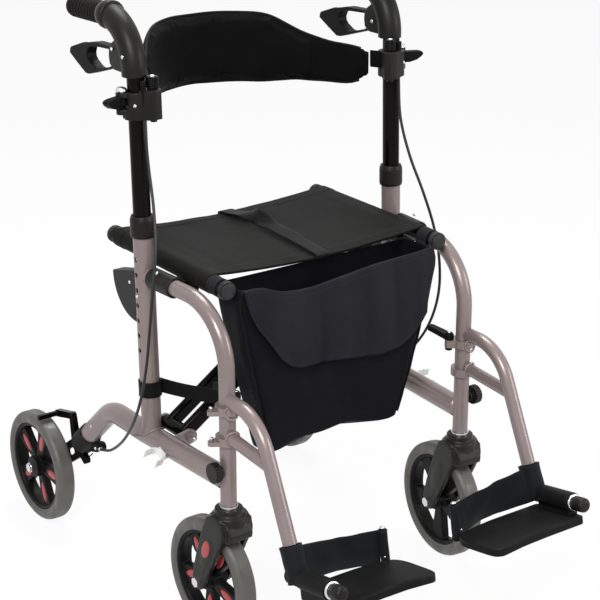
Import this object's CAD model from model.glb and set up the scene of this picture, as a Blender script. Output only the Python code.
from math import atan2, cos, pi, radians, sin, sqrt, tan

import bmesh
import bpy
import numpy as np
from mathutils import Matrix, Vector, noise


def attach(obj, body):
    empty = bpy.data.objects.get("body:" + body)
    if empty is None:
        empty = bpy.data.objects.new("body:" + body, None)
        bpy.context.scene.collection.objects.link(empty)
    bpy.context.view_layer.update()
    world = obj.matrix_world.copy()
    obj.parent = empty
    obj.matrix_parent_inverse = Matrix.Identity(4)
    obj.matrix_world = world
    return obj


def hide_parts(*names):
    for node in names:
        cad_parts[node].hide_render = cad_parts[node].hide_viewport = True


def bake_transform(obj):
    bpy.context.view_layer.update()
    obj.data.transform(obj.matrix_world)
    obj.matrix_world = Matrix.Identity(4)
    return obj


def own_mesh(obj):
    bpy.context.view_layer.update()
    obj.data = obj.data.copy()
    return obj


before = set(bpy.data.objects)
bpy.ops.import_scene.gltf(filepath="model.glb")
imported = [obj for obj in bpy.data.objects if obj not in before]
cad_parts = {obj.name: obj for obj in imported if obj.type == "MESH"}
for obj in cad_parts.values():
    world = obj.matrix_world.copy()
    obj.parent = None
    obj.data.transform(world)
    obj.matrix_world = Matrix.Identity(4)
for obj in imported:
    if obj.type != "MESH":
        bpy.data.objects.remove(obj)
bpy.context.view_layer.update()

# The studio: a white floor that keeps a soft shadow, a white surround that the camera
# and the reflections see, and soft lamps the size of photographers' umbrellas.
# The camera stands in front of the sitter's right, a little above the handles.


class Value:
    """A socket of a node tree. Arithmetic on it adds the Math nodes."""

    def __init__(self, socket):
        self.socket = socket

    def node(self, kind, settings=None, inputs=None, out=0):
        """Adds a node: its settings first, then the values or links of its sockets."""
        tree = self.socket.id_data
        made = tree.nodes.new(kind if kind.startswith(("Geometry", "Function")) else "ShaderNode" + kind)
        for name, value in (settings or {}).items():
            setattr(made, name, value)
        for name, value in (inputs or {}).items():
            if isinstance(value, Value):
                tree.links.new(value.socket, made.inputs[name])
            else:
                made.inputs[name].default_value = value
        return Value(made.outputs[out])

    def maths(self, operation, *others):
        """Adds a Math node with this value as its first input."""
        return self.node("Math", {"operation": operation}, dict(enumerate((self,) + others)))

    def __add__(self, other):
        return self.maths("ADD", other)

    __radd__ = __add__

    def __sub__(self, other):
        return self.maths("SUBTRACT", other)

    def __rsub__(self, other):
        return self * -1 + other

    def __mul__(self, other):
        return self.maths("MULTIPLY", other)

    __rmul__ = __mul__

    def mix(self, first, second):
        """From the first colour to the second as this value goes from 0 to 1."""
        return self.node("Mix", {"data_type": "RGBA"}, {0: self, 6: first, 7: second}, 2)

    def axis(self, name):
        """One of a vector's three numbers."""
        return self.node("SeparateXYZ", {}, {0: self}, "XYZ".index(name))

    def noise(self, scale, detail=3.0, stretch=None):
        """Cloudy noise in this place; stretch scales the place along each axis first."""
        at = self if stretch is None else self.node("Mapping", {}, {"Vector": self, "Scale": stretch})
        return at.node("TexNoise", {}, {"Vector": at, "Scale": scale, "Detail": detail})

    def smooth(self, low, high):
        """0 below low, 1 above high, and a soft step between."""
        return self.node("MapRange", {"interpolation_type": "SMOOTHSTEP"}, {0: self, 1: low, 2: high})


scene = bpy.context.scene
scene.view_settings.view_transform = "Standard"


def seen_directly(tree):
    """1 for what the camera, a reflection or a clear piece looks at."""
    ray = tree.nodes.new("ShaderNodeLightPath").outputs
    looks = Value(ray["Is Camera Ray"]) + Value(ray["Is Glossy Ray"]) + Value(ray["Is Transmission Ray"])
    return looks.smooth(0, 1)


scene.world = bpy.data.worlds.new("studio_surround")
scene.world.use_nodes = True
surround = scene.world.node_tree
surround.nodes["Background"].inputs["Color"].default_value = (1.0, 1.0, 1.0, 1.0)
AMBIENT = 0.3
glow = seen_directly(surround) * (1 - AMBIENT) + AMBIENT
surround.links.new(glow.socket, surround.nodes["Background"].inputs["Strength"])

floor_mesh = bpy.data.meshes.new("floor")
FLOOR_HALF, FLOOR_GLOW = 9.0, 0.925
floor_mesh.from_pydata([(x * FLOOR_HALF, y * FLOOR_HALF, 0) for x, y in ((-1, -1), (1, -1), (1, 1), (-1, 1))], [],
                       [(0, 1, 2, 3)])
floor = bpy.data.objects.new("floor", floor_mesh)
scene.collection.objects.link(floor)
floor_white = bpy.data.materials.new("floor_white")
floor_white.use_nodes = True
floor_tree = floor_white.node_tree
floor_tree.nodes.clear()
floor_out = floor_tree.nodes.new("ShaderNodeOutputMaterial")
floor_seen = seen_directly(floor_tree) * FLOOR_GLOW
floor_lit = floor_seen.node("BsdfDiffuse", {}, {"Color": (0.86, 0.86, 0.86, 1.0)})
floor_glow = floor_seen.node("Emission", {}, {"Color": (1.0, 1.0, 1.0, 1.0), "Strength": 1.0})
floor_mix = floor_seen.node("MixShader", {}, {0: floor_seen, 1: floor_lit, 2: floor_glow})
floor_tree.links.new(floor_mix.socket, floor_out.inputs["Surface"])
floor_mesh.materials.append(floor_white)

LAMP_AIM = Vector((0, 0, 0.5))
for lamp_name, lamp_at, lamp_size, lamp_watts in (
        ("key_umbrella", (-2.0, -1.9, 2.7), 1.3, 105),
        ("fill_umbrella", (2.2, -2.4, 1.5), 1.6, 40),
        ("top_umbrella", (0.5, 0.9, 3.0), 1.4, 60)):
    lamp = bpy.data.lights.new(lamp_name, "AREA")
    lamp.shape, lamp.size, lamp.energy = "DISK", lamp_size, lamp_watts
    lamp_stand = bpy.data.objects.new(lamp_name, lamp)
    lamp_stand.location = lamp_at
    lamp_stand.rotation_euler = (LAMP_AIM - Vector(lamp_at)).to_track_quat("-Z", "Y").to_euler()
    scene.collection.objects.link(lamp_stand)

camera = bpy.data.objects.new("camera", bpy.data.cameras.new("camera"))
camera.data.lens, camera.data.sensor_width = 104.5, 36.0
CAMERA_AIM = Vector((-0.0207, -0.0673, 0.5001))
camera.location = (-1.5254, -2.1831, 1.4678)
camera.rotation_euler = (CAMERA_AIM - camera.location).to_track_quat("-Z", "Y").to_euler()
scene.collection.objects.link(camera)
scene.camera = camera

# The side frames: bent aluminium tubes with a satin rose-grey metallic coat. The post stands on
# the base tube, welded round with a rippled bead, and the arch bends down in front of it.


class Finish(Value):
    """A material. Its value is the piece's object coordinates, in metres."""

    def __init__(self, name, **even):
        self.material = bpy.data.materials.new(name)
        self.material.use_nodes = True
        tree = self.material.node_tree
        self.shader = tree.nodes["Principled BSDF"]
        coordinates = tree.nodes.new("ShaderNodeTexCoord").outputs
        super().__init__(coordinates["Object"])
        self.uv = Value(coordinates["UV"])
        self.wear(**even)

    def wear(self, **sockets):
        """Sets or links the shader's sockets."""
        for name, value in sockets.items():
            socket = self.shader.inputs[name.replace("_", " ").title().replace("Ior", "IOR")]
            if isinstance(value, Value):
                self.socket.id_data.links.new(value.socket, socket)
            else:
                socket.default_value = value
        return self

    def relief(self, height, depth):
        """Bumps of that depth in metres."""
        return self.wear(normal=self.node("Bump", {}, {"Height": height, "Distance": depth, "Strength": 1.0}))


def coated_metal(name, dark, light, metallic, rough):
    """A sprayed coat: fine flakes, a slow drift of tone, orange peel and a few rubbed spots."""
    coat = Finish(name, metallic=metallic, specular_ior_level=0.3, coat_weight=0.15, coat_roughness=0.2)
    flakes = coat.noise(2600, 1)
    drift = coat.noise(9, 2)
    rubs = coat.noise(38, 5, (1, 1, 0.35)).smooth(0.62, 0.72)
    coat.wear(base_color=(flakes * 0.55 + drift * 0.6 - 0.08).mix(dark, light),
              roughness=rough + drift * 0.12 + rubs * 0.08 - 0.06)
    return coat.relief(coat.noise(620, 2), 0.00006)


frame_coat = coated_metal("rose_grey_coat", (0.146, 0.115, 0.111, 1), (0.305, 0.245, 0.237, 1), 0.3, 0.31)
SIDES = (("right", -1), ("left", 1))


def dress(finish, *names):
    """Gives CAD nodes of both sides a finish."""
    for name in names:
        for node_name in ([name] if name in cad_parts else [side + "_" + name for side, _ in SIDES]):
            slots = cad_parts[node_name].data.materials
            slots.clear()
            slots.append(finish.material)


def mm(*point):
    """A point in millimetres as a vector in metres."""
    return Vector(point) * 0.001


def add(name, points, faces, finish, body=None, mirror=1, uvs=None):
    """A mesh piece. mirror -1 turns a left piece into the right one; body is what it rides on."""
    mesh = bpy.data.meshes.new(name)
    mesh.from_pydata([(p[0] * mirror, p[1], p[2]) for p in points], [],
                     [tuple(reversed(f)) for f in faces] if mirror < 0 else faces)
    if uvs is not None:
        layer = mesh.uv_layers.new(name="cloth")
        for corner in mesh.loops:
            layer.data[corner.index].uv = uvs[corner.vertex_index]
    mesh.materials.append(finish.material)
    mesh.polygons.foreach_set("use_smooth", [True] * len(mesh.polygons))
    made = bpy.data.objects.new(name, mesh)
    scene.collection.objects.link(made)
    if body:
        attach(made, body)
    return made


def hoop(a, b, count):
    """Faces between two closed rings of points that start at a and at b."""
    return [(a + k, a + (k + 1) % count, b + (k + 1) % count, b + k) for k in range(count)]


def swept(path, radii, sides=12, closed=False):
    """Points and faces of a round tube along a path; radii is one radius or one for each point."""
    count = len(path)
    radii = radii if hasattr(radii, "__len__") else [radii] * count
    points, faces, across = [], [], None
    for i, p in enumerate(path):
        ahead = path[(i + 1) % count] if closed else path[min(i + 1, count - 1)]
        behind = path[i - 1] if closed else path[max(i - 1, 0)]
        way = (ahead - behind).normalized()
        if across is None:
            across = way.orthogonal().normalized()
        across = (across - way * across.dot(way)).normalized()
        up = way.cross(across)
        points += [p + (across * cos(2 * pi * k / sides) + up * sin(2 * pi * k / sides)) * radii[i]
                   for k in range(sides)]
    for i in range(count if closed else count - 1):
        faces += hoop(i * sides, (i + 1) % count * sides, sides)
    if not closed:
        faces += [tuple(range(sides))[::-1], tuple(range((count - 1) * sides, count * sides))]
    return points, faces


dress(frame_coat, "rear_frame", "front_arch")
weld_coat = coated_metal("weld_coat", (0.155, 0.124, 0.120, 1), (0.33, 0.272, 0.264, 1), 0.4, 0.42)
POST_X, UPRIGHT_X, UPRIGHT_Y, BASE_Z = 243.0, 231.0, -175.0, 286.0
RAKE, RAKE_Y, RAKE_H = radians(1.45), 35.0, 214.0
BASE_Y = RAKE_Y - RAKE_H * tan(RAKE)
POST_WELD_R, BASE_WELD_R, BEAD_R, BEAD_RIPPLE = 16.3, 17.6, 0.0019, 0.0004


def post_point(x, y, h):
    """A point of the left post's own frame, whose z is the height along the post above the base tube's axis."""
    return mm(POST_X + x, BASE_Y + y * cos(RAKE) + h * sin(RAKE), BASE_Z + h * cos(RAKE) - y * sin(RAKE))


def weld(name, ring, side, mirror, body=None):
    """A rippled bead along a closed ring of points; it rides the side frame if no other body is named."""
    radii = [BEAD_R + BEAD_RIPPLE * sin(i * 2.1) for i in range(len(ring))]
    points, faces = swept(ring, radii, 8, True)
    add(side + name, points, faces, weld_coat, body or side + "_side", mirror)


def saddle(r, tube_r, steps=72):
    """Where a tube of radius r stands on another: sideways, lengthways and height over its axis."""
    for k in range(steps):
        a = 2 * pi * k / steps
        yield r * cos(a), r * sin(a), sqrt(tube_r ** 2 - (r * cos(a)) ** 2)


for side, mirror in SIDES:
    weld("_post_weld", [post_point(*spot) for spot in saddle(POST_WELD_R, BASE_WELD_R)], side, mirror)

# The handle posts are steel tubes in gloss black with two drawn grooves, which slide in the
# frame posts. A moulded collar guides each one, and a plated button holds its height. A sleeve
# of the same plastic covers the joint of each arch.
gloss_black = coated_metal("gloss_black_coat", (0.0014, 0.0009, 0.0008, 1), (0.0038, 0.0024, 0.0022, 1), 0.0, 0.2)
gloss_black.wear(specular_ior_level=0.06, coat_weight=0.06, coat_roughness=0.06)
dress(gloss_black, "handle_post")


def plated(name, tone, rough):
    """Bright plating: fine drawn lines and a dull cast in places."""
    plate = Finish(name, metallic=1.0)
    drawn = plate.noise(900, 2, (1, 1, 0.08))
    dull = plate.noise(55, 4)
    low = tuple(c * 0.72 for c in tone) + (1,)
    plate.wear(base_color=(drawn * 0.5 + dull * 0.6 - 0.05).mix(low, tuple(tone) + (1,)),
               roughness=rough + dull * 0.22 - 0.06)
    return plate.relief(drawn, 0.00003)


bright_steel = plated("bright_steel", (0.80, 0.80, 0.82), 0.2)
dress(bright_steel, "snap_button")


def plastic(name, tone, rough, grain, edge=0.03, shine=0.08):
    """Injection-moulded plastic: spark-eroded grain, a faint flow pattern and rubbed edges."""
    resin = Finish(name, specular_ior_level=shine)
    rubbed = resin.node("Attribute", {"attribute_name": "edge"}, {}, 2).smooth(0.12, 0.5)
    flow = resin.noise(14, 3)
    worn = (rubbed * resin.noise(120, 4).smooth(0.4, 0.7)) * 0.8
    pale = tuple(c + edge for c in tone) + (1,)
    darker = tuple(c * 0.7 for c in tone) + (1,)
    lighter = tuple(c * 1.25 for c in tone) + (1,)
    body_tone = flow.smooth(0.3, 0.7).mix(darker, lighter)
    resin.wear(base_color=worn.mix(body_tone, pale), roughness=rough + flow * 0.14 - 0.07 + worn * 0.1)
    return resin.relief(resin.noise(grain, 3), 0.00005)


black_plastic = plastic("black_plastic", (0.0042, 0.0041, 0.0042), 0.46, 1500)
warm_plastic = plastic("warm_black_plastic", (0.0076, 0.0067, 0.0061), 0.42, 1100, shine=0.18)


def solid(*names):
    """A bmesh with copies of CAD nodes, their split corners joined."""
    shell = bmesh.new()
    for node_name in names:
        shell.from_mesh(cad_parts[node_name].data)
    bmesh.ops.remove_doubles(shell, verts=shell.verts, dist=1e-6)
    return shell


def bake(made):
    """Applies a piece's modifiers."""
    view = bpy.context.evaluated_depsgraph_get()
    baked = bpy.data.meshes.new_from_object(made.evaluated_get(view))
    made.modifiers.clear()
    made.data = baked


def read(mesh, what):
    """Three numbers of every vertex, such as its place (co) or its normal, as rows."""
    rows = np.zeros(len(mesh.vertices) * 3)
    mesh.vertices.foreach_get(what, rows)
    return rows.reshape(-1, 3)


def mark_edges(mesh):
    """Stores how sharply the surface turns outward at each point."""
    count = len(mesh.vertices)
    place, normal = read(mesh, "co"), read(mesh, "normal")
    ends = np.zeros(len(mesh.edges) * 2, int)
    mesh.edges.foreach_get("vertices", ends)
    a, b = ends.reshape(-1, 2).T
    way = place[b] - place[a]
    way /= np.maximum(np.linalg.norm(way, axis=1), 1e-9)[:, None]
    turn = np.bincount(a, -(way * normal[a]).sum(1), count) + np.bincount(b, (way * normal[b]).sum(1), count)
    turn /= np.maximum(np.bincount(a, minlength=count) + np.bincount(b, minlength=count), 1)
    edge = mesh.attributes.new("edge", "FLOAT", "POINT")
    edge.data.foreach_set("value", np.clip(turn * 2.5, 0, 1).astype(np.float32))


def moulded(name, shell, finish, body, grain=0.9, polish=4, keep=0.4, hides=()):
    """A moulding from a closed bmesh: its corners are rounded as a mould's are, and its edges marked for wear.
    grain is the cell in millimetres, polish the rounds of smoothing, keep the share of faces kept."""
    mesh = bpy.data.meshes.new(name)
    shell.to_mesh(mesh)
    shell.free()
    mesh.materials.clear()
    mesh.materials.append(finish.material)
    made = bpy.data.objects.new(name, mesh)
    scene.collection.objects.link(made)
    cast = made.modifiers.new("cast", "REMESH")
    cast.mode, cast.voxel_size, cast.use_smooth_shade = "VOXEL", grain * 0.001, True
    smoothing = made.modifiers.new("polish", "SMOOTH")
    smoothing.factor, smoothing.iterations = 0.5, polish
    lighter = made.modifiers.new("thin", "DECIMATE")
    lighter.ratio = keep
    bake(made)
    mark_edges(made.data)
    made.data.materials.clear()
    made.data.materials.append(finish.material)
    made.data.polygons.foreach_set("use_smooth", [True] * len(made.data.polygons))
    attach(made, body)
    if hides:
        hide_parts(*hides)
    return made


def recast(name, node_name, finish, body, grain=0.9, polish=4, keep=0.4):
    """A moulding made from one CAD node, which it replaces."""
    return moulded(name, solid(node_name), finish, body, grain, polish, keep, [node_name])


def lump(shell, centre, size, turn=None):
    """Adds an egg-shaped lump to a bmesh before it is moulded: centre, half sizes, and a 3 x 3 turn."""
    stance = turn.to_4x4() if turn else Matrix()
    place = Matrix.Translation(centre) @ stance @ Matrix.Diagonal(Vector(size)).to_4x4()
    bmesh.ops.create_icosphere(shell, subdivisions=4, radius=1.0, matrix=place)


def block(shell, profile, low, high, point):
    """Adds a prism to a bmesh: a profile of pairs, between two depths, each placed by point(depth, a, b)."""
    ring_low = [shell.verts.new(point(low, a, b)) for a, b in profile]
    ring_high = [shell.verts.new(point(high, a, b)) for a, b in profile]
    count = len(profile)
    faces = [shell.faces.new(ring_low[::-1]), shell.faces.new(ring_high)]
    faces += [shell.faces.new((ring_low[i], ring_low[(i + 1) % count], ring_high[(i + 1) % count], ring_high[i]))
              for i in range(count)]
    bmesh.ops.recalc_face_normals(shell, faces=faces)


for side, mirror in SIDES:
    recast(side + "_guide_collar", side + "_post_collar", warm_plastic, side + "_side", 0.8, 3, 0.35)
    recast(side + "_arch_sleeve", side + "_arch_joint", warm_plastic, side + "_side", 1.1, 5, 0.35)

# The rear brackets are black castings that slip over the rear legs. A pressed brake arm
# pivots on each, and its bar lies just clear of the tread.
for side, mirror in SIDES:
    recast(side + "_leg_bracket", side + "_rear_bracket", black_plastic, side + "_side")
    recast(side + "_brake_bar", side + "_brake_arm", gloss_black, side + "_brake_arm", 0.7, 3)
dress(bright_steel, "rear_axle", "caster_hardware")

# The wheels: grey polyurethane tyres cast on black five-spoke hubs. The tread keeps the fine
# turning lines of its mould. A red leaf is pressed into the outer face of each spoke.
REAR_HUB = (265.0, 389.0, 100.0)
TRAIL, STEM_X, STEM_Y, AXLE_Z = 46.8, 231.0, -175.0, 100.0
YAW = {"right": radians(-2.7), "left": radians(-5.5)}
SPOKES, SPOKE_TURN = 5, {"_rear": radians(18), "_front": 0.0}
LEAF_LENGTH, LEAF_WIDTH, LEAF_PROUD = 42, 16, 1.9
LEAF_REACH, SPOKE_FACE = {"_rear": 0.0505, "_front": 0.0495}, 0.0058


def handed(p, mirror):
    """A point given as if on the left, on the side that mirror stands for."""
    return Vector((p.x * mirror, p.y, p.z))


def caster_point(side, x, y, z):
    """A point of a caster's own frame, as if on the left: x outward, y back from the stem, z up."""
    turn = YAW[side]
    return mm(STEM_X + x * cos(turn) - y * sin(turn), STEM_Y + x * sin(turn) + y * cos(turn), z)


def wheel_frame(side, end):
    """Centre of a wheel as if on the left, and its outward axis."""
    if end == "_rear":
        return mm(*REAR_HUB), Vector((1, 0, 0))
    return caster_point(side, 0, TRAIL, AXLE_Z), Vector((cos(YAW[side]), sin(YAW[side]), 0))


def tyre_finish(name, centre, axis):
    """Cast polyurethane: turning lines round the axle, cloudy tone, and a film that shines in patches."""
    rubber = Finish(name, specular_ior_level=0.6)
    spin = axis.to_track_quat("X", "Z").to_euler()
    place = rubber.node("Mapping", {"vector_type": "TEXTURE"}, {
        "Vector": rubber, "Location": centre, "Rotation": spin})
    across, up = place.axis("Y"), place.axis("Z")
    radius = (across * across + up * up).maths("SQRT")
    lines = (radius * 5200).maths("SINE") * 0.5 + (place.axis("X") * 3900).maths("SINE") * 0.5
    cloud = rubber.noise(24, 4)
    film = rubber.noise(70, 5, (1, 1, 0.4)).smooth(0.45, 0.68)
    tone = cloud * 0.9 + lines * 0.06 + 0.05
    rubber.wear(base_color=tone.mix((0.050, 0.048, 0.042, 1), (0.095, 0.092, 0.083, 1)),
                roughness=0.5 - film * 0.24 + cloud * 0.1)
    return rubber.relief(lines, 0.00009)


wheel_black = plastic("wheel_black", (0.0056, 0.0055, 0.0057), 0.4, 900)
leaf_red = Finish("leaf_red", specular_ior_level=0.5, coat_weight=0.25, coat_roughness=0.2)
red_cloud = leaf_red.noise(60, 3)
leaf_red.wear(base_color=red_cloud.mix((0.26, 0.010, 0.012, 1), (0.42, 0.022, 0.024, 1)),
              roughness=0.3 + leaf_red.noise(240, 3) * 0.2)
leaf_red.relief(leaf_red.noise(1300, 2), 0.00004)


def leaf(point, length, width, proud, rows=7, steps=28, tip=0.25):
    """Points and faces of a domed leaf; point(along, across, height) puts it in place."""
    points, faces = [point(0, 0, proud)], []
    for r in range(1, rows + 1):
        share = r / rows
        for k in range(steps):
            a = 2 * pi * k / steps
            along = cos(a) * length / 2 * share
            across = sin(a) * abs(sin(a)) ** tip * width / 2 * share
            points.append(point(along, across, proud * (1 - share ** 4) - (1.2 if r == rows else 0)))
    faces += [(0, 1 + k, 1 + (k + 1) % steps) for k in range(steps)]
    for r in range(rows - 1):
        a, b = 1 + r * steps, 1 + (r + 1) * steps
        faces += [(a + k, b + k, b + (k + 1) % steps, a + (k + 1) % steps) for k in range(steps)]
    return points, faces


for side, mirror in SIDES:
    for end in ("_rear", "_front"):
        kind = side + end
        centre, axis = wheel_frame(side, end)
        real_axis = Vector((axis.x, axis.y * mirror, 0))
        tread = tyre_finish(kind + "_tread", handed(centre, mirror), real_axis)
        dress(tread, kind + "_tyre")
        recast(kind + "_hub", kind + "_wheel", wheel_black, kind + "_wheel", 1.1)
        back = Vector((-axis.y, axis.x, 0))
        red_points, red_faces = [], []
        for spoke in range(SPOKES):
            turn = 2 * pi * spoke / SPOKES - SPOKE_TURN[end]
            outward = Vector((0, 0, -1)) * cos(turn) + back * sin(turn)
            beside = axis.cross(outward)
            middle = centre + outward * LEAF_REACH[end] + axis * SPOKE_FACE

            def on_spoke(along, across, height):
                return middle + (outward * along + beside * across + axis * height) * 0.001

            points, faces = leaf(on_spoke, LEAF_LENGTH, LEAF_WIDTH, LEAF_PROUD)
            red_faces += [tuple(i + len(red_points) for i in f) for f in faces]
            red_points += points
        add(kind + "_wheel_leaves", red_points, red_faces, leaf_red, kind + "_wheel", mirror)

# The caster forks are glass-filled mouldings in one piece: a cup for the stem's washer, a nose
# that reaches forward over the tyre, and two legs that narrow to the axle. A red oval plugs the
# outer face of each.
fork_black = plastic("fork_black", (0.0122, 0.0114, 0.0104), 0.4, 1100, shine=0.2)
FORK_LEG = ((-20, 224), (20, 224), (31, 203), (53, 140), (61, 106), (55, 91), (42, 91), (36, 106), (19, 150),
            (-2, 180), (-20, 197))
FORK_NOSE = ((22, 228), (-14, 228), (-27, 217), (-33, 205), (-31, 195), (-20, 191), (22, 202))
NOSE_HALF, LEG_INNER, LEG_OUTER = 22, 21.5, 29.5
LEG_LEAN = atan2(TRAIL - 2.0, 207.0 - AXLE_Z)
OVAL_X, OVAL_Y, OVAL_Z, OVAL_LENGTH, OVAL_WIDTH = 30.2, 21.4, 167.0, 37, 20
for side, mirror in SIDES:
    shell = solid(side + "_caster_fork")
    leg_turn = Matrix.Rotation(YAW[side] * mirror, 3, "Z") @ Matrix.Rotation(LEG_LEAN, 3, "X")

    def fork_place(x, y, z):
        return handed(caster_point(side, x, y, z), mirror)

    block(shell, FORK_NOSE, -NOSE_HALF, NOSE_HALF, fork_place)
    for leg in (-1, 1):
        block(shell, FORK_LEG, LEG_INNER * leg, LEG_OUTER * leg, fork_place)
        lump(shell, fork_place(28.0 * leg, 22.0, 160.0), mm(2.9, 15.5, 37), leg_turn)
    moulded(side + "_fork", shell, fork_black, side + "_caster", 1.0, 17, 0.35,
            [side + "_caster_fork"])

    def on_leg(along, across, height):
        up, back = along * cos(LEG_LEAN), -along * sin(LEG_LEAN)
        return caster_point(side, OVAL_X + height, OVAL_Y + back + across * cos(LEG_LEAN),
                            OVAL_Z + up + across * sin(LEG_LEAN))

    points, faces = leaf(on_leg, OVAL_LENGTH, OVAL_WIDTH, 1.5, tip=0.0)
    add(side + "_fork_oval", points, faces, leaf_red, side + "_caster", mirror)

# The footrest hangers are bent from slimmer tube in the same coat. Two welded collars turn on
# the front upright, a link tube ties the bend to the lower collar, and a lever locks the swing.
dress(frame_coat, "hanger")
COLLAR_R, COLLAR_STEPS = 18.9, 56
for side, mirror in SIDES:
    for name, r, z in (("_hanger_weld", 11.4, 405.0), ("_link_weld", 10.3, 362.0)):
        ring = []
        for k in range(COLLAR_STEPS):
            a = 2 * pi * k / COLLAR_STEPS
            x = 2.0 + r * cos(a)
            ring.append(mm(UPRIGHT_X + x, UPRIGHT_Y - sqrt(COLLAR_R ** 2 - x ** 2), z + r * sin(a)))
        weld(name, ring, side, mirror, side + "_hanger")
    latch = side + "_hanger_latch"
    recast(side + "_swing_lever", latch, black_plastic, latch, 0.7, 3)

# The footplates are ribbed mouldings on a barrel at the end of each hanger. A plated ring and a
# fluted end knob hold the plate on the barrel; the heel strap's pin stands at its inner corner.
plate_black = plastic("plate_black", (0.0062, 0.0062, 0.0065), 0.5, 620, 0.02)
FOOT, PITCH = (234.0, -348.83, 204.0), radians(11)


def foot_point(x, y, z):
    """A point of the left footplate's own frame: y runs back along the barrel, z square to the plate."""
    return mm(FOOT[0] + x, FOOT[1] + y * cos(PITCH) + z * sin(PITCH), FOOT[2] - y * sin(PITCH) + z * cos(PITCH))


def foot_local(x, y, z):
    """The reverse of foot_point: from metres to the left footplate's own frame."""
    dy, dz = y * 1000 - FOOT[1], z * 1000 - FOOT[2]
    return x * 1000 - FOOT[0], dy * cos(PITCH) - dz * sin(PITCH), dy * sin(PITCH) + dz * cos(PITCH)


def turned(profile, base, axis, sides=40, flutes=0, depth=0.0):
    """Points and faces of a turned piece: a profile of distances along its axis and radii in millimetres, with
    flutes of that depth if asked."""
    axis = axis.normalized()
    across = axis.orthogonal().normalized()
    up = axis.cross(across)
    points, faces = [], []
    for along, r in profile:
        for k in range(sides):
            a = 2 * pi * k / sides
            here = r + (depth * cos(flutes * a) if r > 2 * depth else 0)
            points.append(base + (axis * along + (across * cos(a) + up * sin(a)) * here) * 0.001)
    for i in range(len(profile) - 1):
        faces += hoop(i * sides, (i + 1) * sides, sides)
    last = (len(profile) - 1) * sides
    faces += [tuple(range(sides))[::-1], tuple(range(last, last + sides))]
    return points, faces


def lathe(name, profile, base, axis, finish, body, mirror, slot, *cut):
    """A turned piece as an object; cut is what turned takes after the axis."""
    points, faces = turned(profile, base, axis, *cut)
    return add(name, points, faces, finish, body, mirror)


BOARD_BEND, BOARD_END, BOARD_MIDDLE, BOARD_HALF = -90.0, -172.0, -67.0, 53.0
BOARD_TOP, BOARD_EAR, BOARD_DROP = -10.0, -12.0, 5.0
BARREL_RING = [(0, 10.0), (0, 13.0), (0.8, 13.6), (3.8, 13.6), (4.6, 12.8), (4.6, 10.0)]
BARREL_KNOB = [(0, 9.0), (0, 10.9), (1.0, 11.5), (19, 11.5), (22, 10.8), (24.2, 8.8), (25.2, 6.0), (25.4, 2.5),
               (25.4, 0.4)]
RING_Y, KNOB_Y = -97.2, -101.6
barrel_way = foot_point(0, -1, 0) - foot_point(0, 0, 0)
HINGE_REAR, HINGE_FRONT, HINGE_TOP = 2.0, -96.4, 245.0
HANGER_KNEE, HANGER_WAY = mm(233.0, -282.5, 374.8), Vector((0, -0.4226, -0.9063))


def hanger_at(z):
    """The point of the left hanger's straight part at a height in millimetres."""
    return HANGER_KNEE + HANGER_WAY * ((z * 0.001 - HANGER_KNEE.z) / HANGER_WAY.z)


for side, mirror in SIDES:
    shell = solid(side + "_footplate_hinge")
    for spot, way in ((foot_point(0, HINGE_REAR, 0), -barrel_way),
                      (foot_point(0, HINGE_FRONT, 0), barrel_way),
                      (hanger_at(HINGE_TOP), -HANGER_WAY)):
        bmesh.ops.bisect_plane(shell, geom=shell.verts[:] + shell.edges[:] + shell.faces[:], clear_outer=True,
                               plane_co=spot, plane_no=way)
        bmesh.ops.holes_fill(shell, edges=shell.edges[:])
    moulded(side + "_foot_hinge", shell, black_plastic, side + "_hanger", 0.8, 4, 0.4,
            [side + "_footplate_hinge"])
    lathe(side + "_barrel_ring", BARREL_RING, foot_point(0, RING_Y, 0), barrel_way, bright_steel, side + "_hanger",
          mirror, "steel")
    lathe(side + "_barrel_knob", BARREL_KNOB, foot_point(0, KNOB_Y, 0), barrel_way, warm_plastic, side + "_hanger",
          mirror, "black_plastic", 72, 18, 0.24)
    board = recast(side + "_foot_board", side + "_footplate", plate_black, side + "_footplate")
    for v in board.data.vertices:
        x, y, z = foot_local(v.co.x * mirror, v.co.y, v.co.z)
        if x < BOARD_BEND and z < BOARD_TOP:
            reach = (x - BOARD_BEND) / (BOARD_END - BOARD_BEND)
            middle = (y - BOARD_MIDDLE) / BOARD_HALF
            if y < BOARD_EAR:
                x -= reach * (6.0 - 12.0 * max(0.0, middle) ** 4 - 9.0 * max(0.0, -middle) ** 6)
            v.co = handed(foot_point(x, y, z - BOARD_DROP * reach ** 2), mirror)
    recast(side + "_hand_knob", side + "_side_knob", warm_plastic, side + "_side_knob", 0.6, 3)

# The storage clips are natural nylon snaps on the base tubes, for the swung-back hangers.
# They are milky, with smooth rounded lips.
milky_nylon = Finish("milky_nylon", subsurface_weight=0.35, subsurface_radius=(0.004, 0.004, 0.004),
                     specular_ior_level=0.4)
milky_cloud = milky_nylon.noise(45, 3)
milky_nylon.wear(base_color=milky_cloud.mix((0.66, 0.67, 0.66, 1), (0.83, 0.84, 0.83, 1)),
                 roughness=0.3 + milky_cloud * 0.2)
milky_nylon.relief(milky_nylon.noise(700, 2), 0.00004)
for side, mirror in SIDES:
    recast(side + "_snap_clip", side + "_storage_clip", milky_nylon, side + "_side", 0.6, 4, 0.45)

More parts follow.
